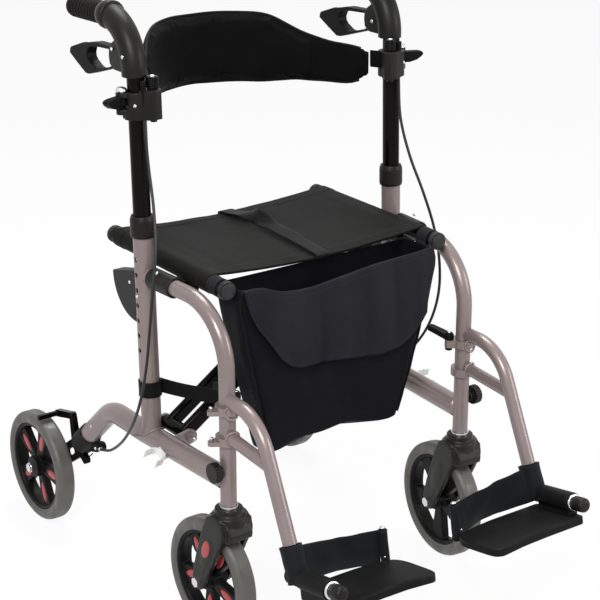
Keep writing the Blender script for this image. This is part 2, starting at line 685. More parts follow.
# The handles are two-part mouldings over the bent end of each post: a matt housing that holds
# the brake lever's pivot, a thin ring, and a ribbed rubber grip pushed on up to the ring.
grip_rubber = plastic("grip_rubber", (0.0066, 0.0052, 0.0049), 0.62, 2100, 0.02)
ring_grey = plated("ring_grey", (0.20, 0.195, 0.165), 0.34)
GRIP_Y, GRIP_H, GRIP_L, RIBS, RIB_PITCH = 78.0, 669.0, 104.0, 9, 9.0
NECK_Y, NECK_BEND, NECK_STEPS, NECK_R, NECK_SWELL = 4.0, 75.0, 24, 0.0192, 0.0010
NECK_FOOT = (585.0, 588.0, 591.0)
LEVER_MOUNT = ((6, 589), (44, 590), (56, 597), (58, 608), (57, 621), (49, 630), (30, 642), (6, 630))
MOUNT_HALF, GRIP_SIDES = 12.5, 56
GRIP_FLANGE = [(0, 19.0), (0, 20.6), (2.4, 22.4), (13.5, 22.4), (16.6, 21.2), (17.4, 18.0)]
GRIP_RING = [(-0.6, 14.0), (-0.6, 19.2), (0.2, 20.2), (2.6, 20.2), (3.4, 19.2), (3.4, 14.0)]
grip_way = post_point(0, 1, 0) - post_point(0, 0, 0)
grip_profile = [(3.4, 12.0), (3.4, 17.2), (4.2, 17.8)]
for rib in range(RIBS):
    groove = 12 + rib * RIB_PITCH
    grip_profile += [(groove - 2.3, 17.8), (groove - 1.5, 17.4), (groove - 0.7, 16.5), (groove + 0.7, 16.5),
                     (groove + 1.5, 17.4), (groove + 2.3, 17.8)]
grip_profile += [(GRIP_L - 9, 17.8), (GRIP_L - 4, 16.6), (GRIP_L - 1.2, 13.6), (GRIP_L, 9.0), (GRIP_L + 0.2, 4.0),
                 (GRIP_L + 0.2, 0.6)]


def on_post(mirror):
    """Gives points of a handle post's own frame on the side that mirror stands for."""
    return lambda x, y, h: handed(post_point(x, y, h), mirror)


for side, mirror in SIDES:
    handle_body, spot = side + "_handle", on_post(mirror)
    neck = [spot(0, NECK_Y, h) for h in NECK_FOOT]
    for k in range(NECK_STEPS + 1):
        a = pi / 2 * k / NECK_STEPS
        neck.append(spot(0, NECK_Y + NECK_BEND * (1 - cos(a)), GRIP_H - NECK_BEND * (1 - sin(a))))
    neck.append(spot(0, GRIP_Y + 2, GRIP_H))
    points, faces = swept(neck, [NECK_R + NECK_SWELL * k / len(neck) for k in range(len(neck))], 40)
    shell = bmesh.new()
    corners = [shell.verts.new(p) for p in points]
    for f in faces:
        shell.faces.new([corners[i] for i in f])
    block(shell, LEVER_MOUNT, -MOUNT_HALF, MOUNT_HALF, spot)
    bmesh.ops.recalc_face_normals(shell, faces=shell.faces)
    moulded(side + "_handle_housing", shell, warm_plastic, handle_body, 0.9, 4, 0.4,
            [side + "_hand_grip"])
    for name, profile, y, finish, slot in (
            ("_grip_flange", GRIP_FLANGE, GRIP_Y - 18, warm_plastic, "black_plastic"),
            ("_rubber_grip", grip_profile, GRIP_Y, grip_rubber, "grip_rubber"),
            ("_grip_ring", GRIP_RING, GRIP_Y, ring_grey, "grip_rubber")):
        lathe(side + name, profile, post_point(0, y, GRIP_H), grip_way, finish, handle_body, mirror, slot, GRIP_SIDES)

# The brake levers are loop-shaped mouldings below the grips. The finger end is broad and
# carries moulded ridges; a bright screw in the housing is the pivot.
LEVER_RIM = ((40, 616), (56, 623), (110, 622), (150, 614.5), (176, 607), (187, 602), (189, 594), (165, 581.5),
             (140, 569), (131, 569), (68, 586), (40, 594))
LEVER_WINDOW = ((50, 608), (57, 618), (108, 616), (124, 612.5), (130, 609), (134, 601), (133, 595), (128, 590),
                (113, 582.5), (104, 581), (62, 591), (50, 597))
LEVER_HALF, RIDGES, RIDGE_SIZE = 9.0, 6, mm(8.6, 1.6, 1.9)
for side, mirror in SIDES:
    shell, spot = bmesh.new(), on_post(mirror)
    rings = [[shell.verts.new(spot(x, y, h)) for y, h in loop]
             for x in (-LEVER_HALF, LEVER_HALF) for loop in (LEVER_RIM, LEVER_WINDOW)]
    for a, b in ((0, 1), (1, 3), (3, 2), (2, 0)):
        for k in range(len(LEVER_RIM)):
            n = (k + 1) % len(LEVER_RIM)
            shell.faces.new((rings[a][k], rings[a][n], rings[b][n], rings[b][k]))
    bmesh.ops.recalc_face_normals(shell, faces=shell.faces)
    for k in range(RIDGES):
        along = 0.08 + k * 0.165
        lump(shell, spot(0, 152 + 37 * along, 613.6 - 11.7 * along), RIDGE_SIZE)
    moulded(side + "_loop_lever", shell, black_plastic, side + "_brake_lever", 0.75, 3, 0.4,
            [side + "_brake_lever"])

# The backrest clamps are rounded castings round the handle posts. A ringed cap holds the
# backrest's upright pin, and a wing lever on a plated dome bolt locks the clamp.
KNUCKLE, CAM = (-17.0, -19.0), (23.0, 5.0)
CASTING_LOW, CASTING_HIGH, WING_HALF = 522, 567, 6.2
CASTING = ((3, -3), (5, -18), (-3, -29), (-14, -32.5), (-25, -31), (-30.5, -22), (-28, -11), (-16, -3))
WING_WAY = (cos(radians(22)), -sin(radians(22)))
WING = ((0, 540), (0, 559), (30, 558.5), (37, 557), (39, 553.5), (36, 549.5), (28, 544), (16, 540.5))
CAP_RINGS = [(0.4 + 2.8 * k + part, r) for k in range(6)
             for part, r in ((0, 9.0), (0.6, 9.9), (1.7, 9.9), (2.3, 9.0))]
KNUCKLE_CAP = [(0, 6.0), *CAP_RINGS, (17.3, 7.4), (17.3, 4.0)]
KNUCKLE_STUD = [(0, 3.4), (0, 4.4), (0.9, 4.4), (1.8, 3.4), (2.2, 1.6), (2.2, 0.4)]
DOME_BOLT = [(0, 5.0), (0, 8.8), (2.8, 8.8), (5.2, 7.8), (7.0, 5.6), (7.9, 2.8), (8.0, 0.4)]
post_way = post_point(0, 0, 1) - post_point(0, 0, 0)
for side, mirror in SIDES:
    handle_body, spot = side + "_handle", on_post(mirror)
    shell = solid(side + "_backrest_clamp")
    block(shell, CASTING, CASTING_LOW, CASTING_HIGH, lambda h, x, y: spot(x, y, h))
    moulded(side + "_clamp_body", shell, warm_plastic, handle_body, 0.8, 6, 0.4,
            [side + "_backrest_clamp"])
    lathe(side + "_knuckle_cap", KNUCKLE_CAP, post_point(*KNUCKLE, 569.5), post_way, black_plastic, handle_body,
          mirror, "black_plastic", 48)
    lathe(side + "_knuckle_stud", KNUCKLE_STUD, post_point(*KNUCKLE, 586.6), post_way, bright_steel, handle_body,
          mirror, "steel", 32)

    def on_wing(depth, along, h):
        return spot(CAM[0] + along * WING_WAY[0] - depth * WING_WAY[1],
                    CAM[1] + along * WING_WAY[1] + depth * WING_WAY[0], h)

    shell = bmesh.new()
    lump(shell, on_wing(0, 0, 549), mm(9, 9, 10))
    block(shell, WING, -WING_HALF, WING_HALF, on_wing)
    moulded(side + "_wing_lever", shell, black_plastic, side + "_clamp_lever", 0.7, 5, 0.4,
            [side + "_clamp_lever"])
    lathe(side + "_dome_bolt", DOME_BOLT, post_point(*CAM, 564.4), post_way, bright_steel, side + "_clamp_lever",
          mirror, "steel", 32)

# The cross braces are flat black bars with a hinge tube below and a seat rail above.
# Each rail is closed by a domed grey cap.
dress(gloss_black, "brace_right", "brace_left")
cap_grey = plastic("cap_grey", (0.030, 0.029, 0.029), 0.4, 900)
RAIL_X, RAIL_Z, RAIL_FRONT, RAIL_REAR = 202.5, 574.5, -131.0, 192.0
RAIL_CAP = [(-0.5, 11.0), (-0.5, 14.4), (7.5, 14.4), (10.0, 13.4), (11.8, 10.6), (12.8, 6.4), (13.1, 2.6),
            (13.1, 0.4)]
for rail_mirror, brace in ((1, "brace_right"), (-1, "brace_left")):
    for end, y, way in (("front", RAIL_FRONT + 1, -1), ("rear", RAIL_REAR - 1, 1)):
        lathe(brace + "_rail_cap_" + end, RAIL_CAP, mm(RAIL_X, y, RAIL_Z), Vector((0, way, 0)), cap_grey, brace,
              rail_mirror, "black_plastic")

# The brake cables are steel wires in black sheaths. Each leaves the lever's housing through a
# tapered boot, hangs forward in a loose bow and ends in a plated ferrule at the rear bracket.
sheath_black = Finish("sheath_black", specular_ior_level=0.35)
sheath_film = sheath_black.noise(90, 3)
sheath_black.wear(base_color=sheath_film.mix((0.0065, 0.0065, 0.007, 1), (0.013, 0.013, 0.0135, 1)),
                  roughness=0.3 + sheath_film * 0.22)
sheath_black.relief(sheath_black.noise(900, 2), 0.00003)
CABLE_ROUTE = ((243, 24, 868), (243, 22, 800), (243, 15, 740), (248, -5, 680), (260, -28, 620), (275, -40, 560),
               (285, -45, 500), (290, -40, 440), (290, -20, 380), (285, 15, 325), (273.7, 70.5, 270),
               (257.7, 140.5, 222), (247.7, 190.5, 200), (241.7, 211.5, 192))
CABLE_R = 2.4
CABLE_BOOT = [(0, 4.2), (2, 4.6), (8, 4.4), (26, 3.4), (40, 2.9), (41, 2.5)]
CABLE_FERRULE = [(-9, 2.5), (-9, 3.3), (-8, 3.7), (0, 3.7), (0.6, 3.2)]


def through(stops, pieces=8):
    """A smooth run of points through the stops."""
    stops = [Vector(s) for s in stops]
    ends = [stops[0] * 2 - stops[1]] + stops + [stops[-1] * 2 - stops[-2]]
    run = []
    for a, b, c, d in zip(ends, ends[1:], ends[2:], ends[3:]):
        for k in range(pieces):
            t = k / pieces
            bend = (c - a) * t + (a * 2 - b * 5 + c * 4 - d) * t ** 2 + (b * 3 - a - c * 3 + d) * t ** 3
            run.append(b + bend * 0.5)
    return run + [stops[-1]]


def length_of(path):
    """Length of a run of points."""
    return sum((b - a).length for a, b in zip(path, path[1:]))


for side, mirror in SIDES:
    run = [p * 0.001 for p in through(CABLE_ROUTE)]
    points, faces = swept(run, CABLE_R * 0.001, 12)
    cable = add(side + "_cable", points, faces, sheath_black, None, mirror)
    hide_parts(side + "_brake_cable")
    top_x, top_y = run[0].x * mirror, run[0].y
    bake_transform(cable)
    boot = lathe(side + "_cable_boot", CABLE_BOOT, run[0], run[1] - run[0], black_plastic, side + "_handle", mirror,
                 "cable_sheath", 20)
    ferrule = lathe(side + "_cable_ferrule", CABLE_FERRULE, run[-1], run[-1] - run[-2], bright_steel, side + "_side",
                    mirror, "steel", 20)
    length_of(run)

# The seat is a double layer of coated polyester, hemmed round both rails. Hanging between the
# rails it sags a little; its front and rear edges are turned under and stitched.


def woven(name, dark, light, pitch, rough, sheen, along="UV"):
    """Plain weave: crossed threads of the given pitch, slow rubbed bands and lint."""
    cloth = Finish(name, specular_ior_level=0.05, sheen_weight=sheen, sheen_roughness=0.45)
    lay = cloth.uv if along == "UV" else cloth
    u, v = lay.axis("X"), lay.axis("Y" if along == "UV" else "Z")
    warp, weft = (u * (2 * pi / pitch)).maths("SINE"), (v * (2 * pi / pitch)).maths("SINE")
    threads = (warp * weft) * 0.5 + (warp + weft) * 0.18 + 0.5
    bands = lay.noise(26, 3, (1.0, 0.12, 1.0))
    lint = cloth.noise(820, 2).smooth(0.6, 0.75)
    tone = threads * 0.3 + bands * 0.75 - 0.05 + lint * 0.16
    cloth.wear(base_color=tone.mix(dark, light), roughness=rough + threads * 0.12 - bands * 0.16)
    return cloth.relief(threads, pitch * 0.16)


seat_weave = woven("seat_weave", (0.0033, 0.0031, 0.0029, 1), (0.0103, 0.0096, 0.0090, 1), 0.0011, 0.62, 0.015)
SEAT_FRONT, SEAT_REAR, SEAT_SAG, CLOTH_T = -98.0, 180.0, 8.0, 2.2
HEM_R, HEM_STEPS, HEM_SWEEP, HEM_FOLD = 14.0, 18, 172, 26


def two_layers(wide, tall, flip=False):
    """Faces of a closed sheet: two layers of wide by tall points, the second numbered after the first."""
    faces, layer = [], wide * tall
    for r in range(tall - 1):
        for c in range(wide - 1):
            a = r * wide + c
            quad = (a, a + wide, a + wide + 1, a + 1) if flip else (a, a + 1, a + wide + 1, a + wide)
            faces += [quad, tuple(layer + k for k in reversed(quad))]
    border = (list(range(wide)) + [r * wide + wide - 1 for r in range(1, tall)]
              + [(tall - 1) * wide + c for c in range(wide - 2, -1, -1)]
              + [r * wide for r in range(tall - 2, 0, -1)])
    return faces + [(a, b, b + layer, a + layer) if flip else (b, a, a + layer, b + layer)
                    for a, b in zip(border, border[1:] + border[:1])]


def layered(line, rows, thickness, row_shift):
    """Closed sheet from one centre line of (x, z) pairs, repeated along y; row_shift(y, x) gives a height and a
    thickness factor. Returns points, faces and flat coordinates in metres."""
    count = len(line)
    run = [0.0]
    for (a, b), (c, d) in zip(line, line[1:]):
        run.append(run[-1] + sqrt((c - a) ** 2 + (d - b) ** 2))
    points, uvs = [], []
    for face in (1, -1):
        for y in rows:
            for i, (x, z) in enumerate(line):
                ahead, behind = line[min(i + 1, count - 1)], line[max(i - 1, 0)]
                tx, tz = ahead[0] - behind[0], ahead[1] - behind[1]
                size = sqrt(tx * tx + tz * tz)
                rise, thick = row_shift(y, x)
                half = face * thickness * thick / 2
                points.append(mm(x - tz / size * half, y, z + tx / size * half + rise))
                uvs.append((run[i] * 0.001, y * 0.001))
    return points, two_layers(count, len(rows)), uvs


def seat_rise(y, x):
    """Slack waves between the rails, and the doubled edges."""
    edge = min(y - SEAT_FRONT, SEAT_REAR - y)
    doubled = 1.0 if edge > HEM_FOLD else 1.0 + 0.75 * min(1.0, (HEM_FOLD - edge) / 3)
    slack = 1 - min(1.0, abs(x) / 190) ** 2
    wave = (noise.noise(Vector((x * 0.021, y * 0.006, 3.1))) * 1.5
            + noise.noise(Vector((x * 0.006, y * 0.02, 7.7))) * 1.3)
    droop = -2.6 * max(0.0, 1 - edge / 60) ** 2
    return slack * (wave + droop), doubled


def seat_height(x):
    """Height of the slack cloth's middle between the rails."""
    return RAIL_Z + HEM_R - SEAT_SAG * (1 - (x / RAIL_X) ** 2)


def hem(rail, start):
    """The cloth's turn round one rail as (x, z) pairs, from a start in degrees."""
    turns = [radians(start + HEM_SWEEP * k / HEM_STEPS) for k in range(HEM_STEPS + 1)]
    return [(rail * RAIL_X + HEM_R * cos(a), RAIL_Z + HEM_R * sin(a)) for a in turns]


seat_line = hem(1, -82) + [(x, seat_height(x)) for x in np.linspace(RAIL_X - 6, -RAIL_X + 6, 70)] + hem(-1, 90)
seat_line.reverse()
seat_rows = list(np.linspace(SEAT_FRONT, SEAT_REAR, 60))
for inset in (0.8, 22.5, HEM_FOLD):
    seat_rows += [SEAT_FRONT + inset, SEAT_REAR - inset]
seat_rows = sorted({round(y, 2) for y in seat_rows})
points, faces, uvs = layered(seat_line, seat_rows, CLOTH_T, seat_rise)
seat_cloth = add("seat_cloth", points, faces, seat_weave, None, 1, uvs)
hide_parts("seat")
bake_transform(seat_cloth)
seat_width = sum(sqrt((c - a) ** 2 + (d - b) ** 2) for (a, b), (c, d) in zip(seat_line, seat_line[1:])) * 0.001

# The pull strap is a loose length of webbing from edge to edge over the middle of the seat.
# It is tucked under both edges, and it has turned over itself behind the middle.
strap_weave = woven("strap_weave", (0.003, 0.003, 0.0032, 1), (0.0095, 0.0092, 0.0094, 1), 0.0018, 0.5, 0.03)


def ribbon(path, across, width, thickness, cells=8):
    """Closed flat band along a path; across gives the direction of its width at each point."""
    points, uvs, run = [], [], 0.0
    count, wide = len(path), cells + 1
    for i, p in enumerate(path):
        run += (p - path[i - 1]).length if i else 0
        way = (path[min(i + 1, count - 1)] - path[max(i - 1, 0)]).normalized()
        side_way = (across[i] - way * across[i].dot(way)).normalized()
        out = side_way.cross(way)
        for face in (1, -1):
            for k in range(wide):
                s = 2 * k / cells - 1
                edge = 1 - 0.35 * abs(s) ** 8
                points.append(p + side_way * width / 2 * s + out * (thickness / 2 * edge * face))
                uvs.append((s * width / 2, run))
    faces, row = [], 2 * wide
    for i in range(count - 1):
        a, b = i * row, (i + 1) * row
        for k in range(cells):
            faces += [(a + k, b + k, b + k + 1, a + k + 1),
                      (a + wide + k + 1, b + wide + k + 1, b + wide + k, a + wide + k)]
        faces += [(a, a + wide, b + wide, b), (a + cells, b + cells, b + wide + cells, a + wide + cells)]
    for start, flip in ((0, False), ((count - 1) * row, True)):
        cap = [(start + k, start + k + 1, start + wide + k + 1, start + wide + k) for k in range(cells)]
        faces += [tuple(reversed(f)) for f in cap] if flip else cap
    return points, faces, uvs


STRAP_W, STRAP_T, STRAP_TUCK = 25.0, 1.6, 27
STRAP_STOPS = ((0, -76, -7.5), (0, -96, -7.6), (0, -101.2, -3.6), (0, -96, -0.2), (0, -60, 3.0), (0, 0, 7.2),
               (1, 50, 8.6), (2, 84, 12.0), (1, 118, 8.6), (0, 150, 3.0), (0, 178, -0.2), (0, 183.2, -3.6),
               (0, 178, -7.6), (0, 158, -7.5))
strap_low = RAIL_Z + HEM_R - SEAT_SAG + 2.6
strap_path = [p * 0.001 for p in through([(x, y, strap_low + z) for x, y, z in STRAP_STOPS], 9)]
strap_across = []
for k, p in enumerate(strap_path):
    inner = STRAP_TUCK <= k < len(strap_path) - STRAP_TUCK
    roll = (radians(64) * np.exp(-((p.y * 1000 - 86) / 26) ** 2)
            + radians(9) * np.exp(-((p.y * 1000 - 10) / 30) ** 2))
    strap_across.append(Vector((cos(roll), 0, sin(roll))) if inner else Vector((1, 0, 0)))
points, faces, uvs = ribbon(strap_path, strap_across, STRAP_W * 0.001, STRAP_T * 0.001)
lift_strap = add("lift_strap", points, faces, strap_weave, None, 1, uvs)
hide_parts("pull_strap")
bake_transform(lift_strap)
length_of(strap_path)

# The heel straps are wide webbing slings: a sewn sleeve on the hanger's lower end, a slack
# run behind the heel, and a sleeve over the pin at the footplate's inner corner.
heel_weave = woven("heel_weave", (0.0050, 0.0054, 0.0062, 1), (0.0160, 0.0172, 0.0192, 1), 0.0014, 0.55, 0.03)


def sleeve(base, top, r, t, sides=36, rows=10, seed=0.0):
    """Closed cloth tube round a post, with soft unevenness."""
    way = (top - base).normalized()
    across = way.orthogonal().normalized()
    up = way.cross(across)
    points, faces, uvs = [], [], []
    for face in (1, 0):
        for i in range(rows + 1):
            for k in range(sides):
                a = 2 * pi * k / sides
                spot = base + (top - base) * (i / rows)
                soft = 0.5 * noise.noise(Vector((cos(a) * 1.4, sin(a) * 1.4, i * 0.4 + seed))) if face else 0.0
                flare = 0.35 if i in (0, rows) and face else 0.0
                points.append(spot + (across * cos(a) + up * sin(a)) * (r + (t + soft + flare) * face) * 0.001)
                uvs.append((a * r * 0.001, (top - base).length * i / rows))
    inner = (rows + 1) * sides
    for i in range(rows):
        for k in range(sides):
            a, b = i * sides + k, i * sides + (k + 1) % sides
            faces += [(a, b, b + sides, a + sides), (inner + a, inner + a + sides, inner + b + sides, inner + b)]
    for k in range(sides):
        a, b = k, (k + 1) % sides
        top_a, top_b = rows * sides + a, rows * sides + b
        faces += [(b, a, inner + a, inner + b), (top_a, top_b, inner + top_b, inner + top_a)]
    return points, faces, uvs


HEEL_W, HEEL_T, HEEL_STEPS, HEEL_CELLS = 54.0, 2.2, 40, 14
HEEL_LOW, HEEL_HIGH, PIN = 198, 248, (-164, -6)
for side, mirror in SIDES:
    root = (hanger_at(HEEL_HIGH) + hanger_at(HEEL_LOW)) * 0.5 + mm(-12.0, -6.5, 0)
    tip = mm(FOOT[0] + PIN[0] + 5.2, FOOT[1] + PIN[1] + 2.2, FOOT[2] - 3)
    heel_path, heel_across = [], []
    for k in range(HEEL_STEPS + 1):
        u = k / HEEL_STEPS
        slack = 4 * u * (1 - u)
        curl = noise.noise(Vector((u * 5, 0.3, mirror * 2.2))) * 2.5
        heel_path.append(root.lerp(tip, u) + mm(0, 10 * slack + curl * slack, -3 * slack))
        lean = radians(25 - 14 * u - 16 * sin(pi * u))
        heel_across.append(Vector((0, sin(lean), cos(lean))))
    points, faces, uvs = ribbon(heel_path, heel_across, HEEL_W * 0.001, HEEL_T * 0.001, HEEL_CELLS)
    row = HEEL_CELLS + 1
    for i, p in enumerate(points):
        u = (i // (2 * row)) / HEEL_STEPS
        height = (i % row) / HEEL_CELLS
        fold = sin(pi * u) * noise.noise(Vector((u * 4 + 1.3 * height, height * 1.6, 5.5 + mirror))) * 3.6
        points[i] = p + mm(0, fold, 0)
    heel_sling = add(side + "_heel_sling", points, faces, heel_weave, None, mirror, uvs)
    for name, body, base, top, r, sides in (
            ("_heel_sleeve", side + "_hanger", hanger_at(HEEL_LOW), hanger_at(HEEL_HIGH), 14.9, 36),
            ("_pin_sleeve", side + "_footplate", foot_point(*PIN, -31.0), foot_point(*PIN, 22.8), 4.9, 24)):
        points, faces, uvs = sleeve(base, top, r, HEEL_T, sides, 10, mirror)
        add(side + name, points, faces, heel_weave, body, mirror, uvs)
    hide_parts(side + "_heel_strap")
    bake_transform(heel_sling)
    length_of(heel_path)

# The bag is a soft polyester pouch. Loops carry it on the front ends of the seat rails, its
# front lip hangs slack, and a wide flap is folded down over the upper front.
bag_weave = woven("bag_weave", (0.0066, 0.0065, 0.0084, 1), (0.0215, 0.0212, 0.0272, 1), 0.0012, 0.6, 0.02)
pouch_weave = woven("pouch_weave", (0.0024, 0.0025, 0.0036, 1), (0.0078, 0.0080, 0.0110, 1), 0.0012, 0.6, 0.01)
BAG_FRONT, BAG_REAR, BAG_CORNER, BAG_HALF, BAG_FOOT, BAG_RISE = -146.0, -77.0, 13.0, 187.0, 290, 280
REAR_LIP, LINING = 567, 2.4
LIP = ((-190, 570), (-165, 571), (-147, 569), (-128, 561), (-111, 555), (-80, 552), (-49, 551.5), (8, 558), (67, 564),
       (115, 566), (151, 567), (190, 571))
FLAP_LOW = ((-186, 536), (-173, 512), (-150, 482), (-128, 452), (-108, 436), (-90, 431), (-33, 430), (30, 421),
            (83, 416), (130, 421), (160, 436), (176, 452), (186, 470))
PULLS = (((150, 425), (-30, 318), 3.4), ((-150, 430), (-20, 330), 2.2), ((120, 330), (20, 310), 1.8))


def between(table, x):
    """Straight-line reading of a table of pairs."""
    return float(np.interp(x, [a for a, _ in table], [b for _, b in table]))


def bag_half(z):
    """Half the bag's width at a height; the top draws in between the rails."""
    return min(131 + 0.228 * (z - 296), BAG_HALF) - 4.0 * max(0.0, (z - 556) / 15)


def bag_low(x):
    """Height of the bag's lower edge: it hangs lowest at its corners."""
    return 287 + 15 * max(0.0, 1 - ((x + 12) / 118) ** 2) + 2.5 * sin(x * 0.055)


def crumple(x, y, z):
    """Soft folds of the cloth in millimetres, with slack pulls towards the lower middle."""
    p = Vector((x, y, z))
    soft = noise.noise(p * 0.011) * 4.2 + noise.noise(p * 0.027 + Vector((5, 1, 9))) * 1.7
    pull = 0.0
    for (ax, az), (bx, bz), size in PULLS:
        along = ((x - ax) * (bx - ax) + (z - az) * (bz - az)) / ((bx - ax) ** 2 + (bz - az) ** 2)
        off = ((x - ax) * (bz - az) - (z - az) * (bx - ax)) / sqrt((bx - ax) ** 2 + (bz - az) ** 2)
        if 0 < along < 1:
            pull += size * sin(pi * along) * np.exp(-(off / 7) ** 2)
    return soft + pull


def front_wall(level):
    """How far the front wall stands back at a level from 0 below to 1 above, and how far it sags forward."""
    return 9 * max(0.0, 1 - level) ** 1.5, 5.0 * sin(pi * min(1.0, level * 1.15))


def bag_spot(name, share, level, inset):
    """A point of the pouch: its wall, the share along it, the level from 0 below to 1 above, and an inset."""
    half = bag_half(BAG_FOOT + BAG_RISE * level) - inset
    back_set, sag = front_wall(level)
    front = BAG_FRONT + back_set + inset
    rear = BAG_REAR - 5 * (1 - level) - inset
    if name == "front":
        x, y, out = -half + 2 * half * share, front, (0, -1)
    elif name == "rear":
        x, y, out = half - 2 * half * share, rear, (0, 1)
    elif name == "far":
        x, y, out = half, front + (rear - front) * share, (1, 0)
    else:
        x, y, out = -half, rear + (front - rear) * share, (-1, 0)
    corner_x, corner_y = half - BAG_CORNER, (rear - front) / 2 - BAG_CORNER
    mid_y = (front + rear) / 2
    dx, dy = max(abs(x) - corner_x, 0), max(abs(y - mid_y) - corner_y, 0)
    if dx and dy:
        size = sqrt(dx * dx + dy * dy)
        x = (corner_x + dx / size * BAG_CORNER) * (1 if x > 0 else -1)
        y = mid_y + (corner_y + dy / size * BAG_CORNER) * (1 if y > mid_y else -1)
        out = (dx / size * (1 if x > 0 else -1), dy / size * (1 if y > mid_y else -1))
    back = min(1.0, max(0.0, (y - front) / (rear - front)))
    top = between(LIP, x) * (1 - back) + REAR_LIP * back
    z = bag_low(x) + (top - bag_low(x)) * level
    swell = 0.0
    if not inset:
        soft = crumple(x, y, z) * min(1.0, 6 * level + 0.15) * min(1.0, 5 * (1 - level) + 0.1)
        swell = soft + sag * (1 if name == "front" else 0.3)
    return mm(x + out[0] * swell, y + out[1] * swell, z)


bag_steps = []
for name, cells in (("front", 52), ("far", 12), ("rear", 52), ("near", 12)):
    bag_steps += [(name, (k + 0.5) / cells) for k in range(cells)]
bag_rings = [[bag_spot(*step, level, 0.0) for step in bag_steps] for level in np.linspace(0.0, 1.0, 44)]
bag_rings += [[bag_spot(*step, level, LINING) for step in bag_steps] for level in (1.003, 0.97, 0.9, 0.75, 0.6, 0.5)]
around = len(bag_steps)
bag_points = [p for ring in bag_rings for p in ring]
bag_uvs = []
for ring in bag_rings:
    run = 0.0
    for k, p in enumerate(ring):
        run += (p - ring[k - 1]).length if k else 0.0
        bag_uvs.append((run, p.z))
bag_faces = []
for r in range(len(bag_rings) - 1):
    bag_faces += hoop(r * around, (r + 1) * around, around)
for first, flip in ((0, True), ((len(bag_rings) - 1) * around, False)):
    ring = bag_points[first:first + around]
    centre = sum(ring, Vector()) / around
    last_ring = first
    for shrink, drop in ((0.9, -1.5), (0.6, -2.0), (0.3, -2.0)):
        start = len(bag_points)
        bag_points += [centre + (p - centre) * shrink + mm(0, 0, drop) for p in ring]
        bag_uvs += [(p.x, p.y) for p in ring]
        quads = hoop(last_ring, start, around)
        bag_faces += [tuple(reversed(q)) for q in quads] if flip else quads
        last_ring = start
    cap = tuple(range(last_ring, last_ring + around))
    bag_faces.append(tuple(reversed(cap)) if flip else cap)
bag_pieces = [add("bag_pouch", bag_points, bag_faces, pouch_weave, None, 1, bag_uvs)]

FLAP_COLUMNS, FLAP_ROWS, ROLL_ROWS, FLAP_T, FLAP_HALF = 84, 34, 3, 2.0, 184
PLEATS = ((44, 0, 3.6, 6), (-44, 0, 2.2, 9), (118, 40, 2.0, 8))
flap_points, flap_uvs = [], []
for face in (1, 0):
    for r in range(FLAP_ROWS + 1):
        for c in range(FLAP_COLUMNS + 1):
            s = c / FLAP_COLUMNS
            t = (r - ROLL_ROWS) / (FLAP_ROWS - ROLL_ROWS)
            top_x = -FLAP_HALF + 2 * FLAP_HALF * s
            lip, low = between(LIP, top_x), between(FLAP_LOW, top_x)
            if t < 0:
                roll = -t * (FLAP_ROWS - ROLL_ROWS) / ROLL_ROWS
                z = lip + 3.4 * sin(pi / 2 * (1 - roll)) - 9 * max(0.0, roll - 0.4)
                x, out = top_x, 3.2 - 7.6 * roll
            else:
                z = lip + 3.4 + (low - lip - 3.4) * t
                x = top_x * (bag_half(z) / BAG_HALF if top_x > 0 else 1 - 0.06 * t)
                swell = 8.5 * sin(pi * min(1.0, t * 0.93)) ** 0.8 * (1 - abs(2 * s - 1) ** 5)
                pleat = -sum(deep * np.exp(-((x + at + lean * t) / broad) ** 2) for at, lean, deep, broad in PLEATS)
                wave = (noise.noise(Vector((x * 0.016, 2.2, z * 0.009))) * 3.4
                        + noise.noise(Vector((x * 0.04, 8, z * 0.02))) * 1.2)
                out = 4.4 + swell + (pleat + wave) * min(1.0, t * 4) + 2.6 * max(0.0, t - 0.86) / 0.14
            back_set, sag = front_wall(min(1.0, max(0.0, (z - BAG_FOOT) / BAG_RISE)))
            wall = BAG_FRONT + back_set - sag - 2.5
            flap_points.append(mm(x, wall - out - FLAP_T * face, z))
            flap_uvs.append((x * 0.001, z * 0.001))
flap_faces = two_layers(FLAP_COLUMNS + 1, FLAP_ROWS + 1, True)
bag_pieces.append(add("bag_flap", flap_points, flap_faces, bag_weave, None, 1, flap_uvs))

TAB_STOPS = ((14.4, -111.8, 2), (15.6, -112, 12), (17, -113, 24), (18.4, -114, 40))
for name, side_x in (("near", -1), ("far", 1)):
    edge = []
    for level in np.linspace(0.02, 0.985, 50):
        p = bag_spot("front", 0.995 if side_x > 0 else 0.005, level, 0.0)
        edge.append(p + mm(1.0 * side_x, -1.0, 0))
    points, faces = swept(edge, 0.0017, 8)
    bag_pieces.append(add("bag_piping_" + name, points, faces, strap_weave, None, 1))
    points, faces, uvs = sleeve(mm(RAIL_X * side_x, -124, RAIL_Z), mm(RAIL_X * side_x, -99.6, RAIL_Z),
                                12.9, 2.0, 40, 8, side_x)
    bag_pieces.append(add("bag_loop_" + name, points, faces, bag_weave, None, 1, uvs))
    tab = [mm((RAIL_X - inward) * side_x, y, RAIL_Z - down) for inward, y, down in TAB_STOPS]
    points, faces, uvs = ribbon(tab, [Vector((0, 1, 0))] * len(tab), 0.024, 0.003, 6)
    bag_pieces.append(add("bag_tab_" + name, points, faces, bag_weave, None, 1, uvs))
for piece in bag_pieces:
    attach(piece, "bag")
    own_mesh(piece)
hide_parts("bag")

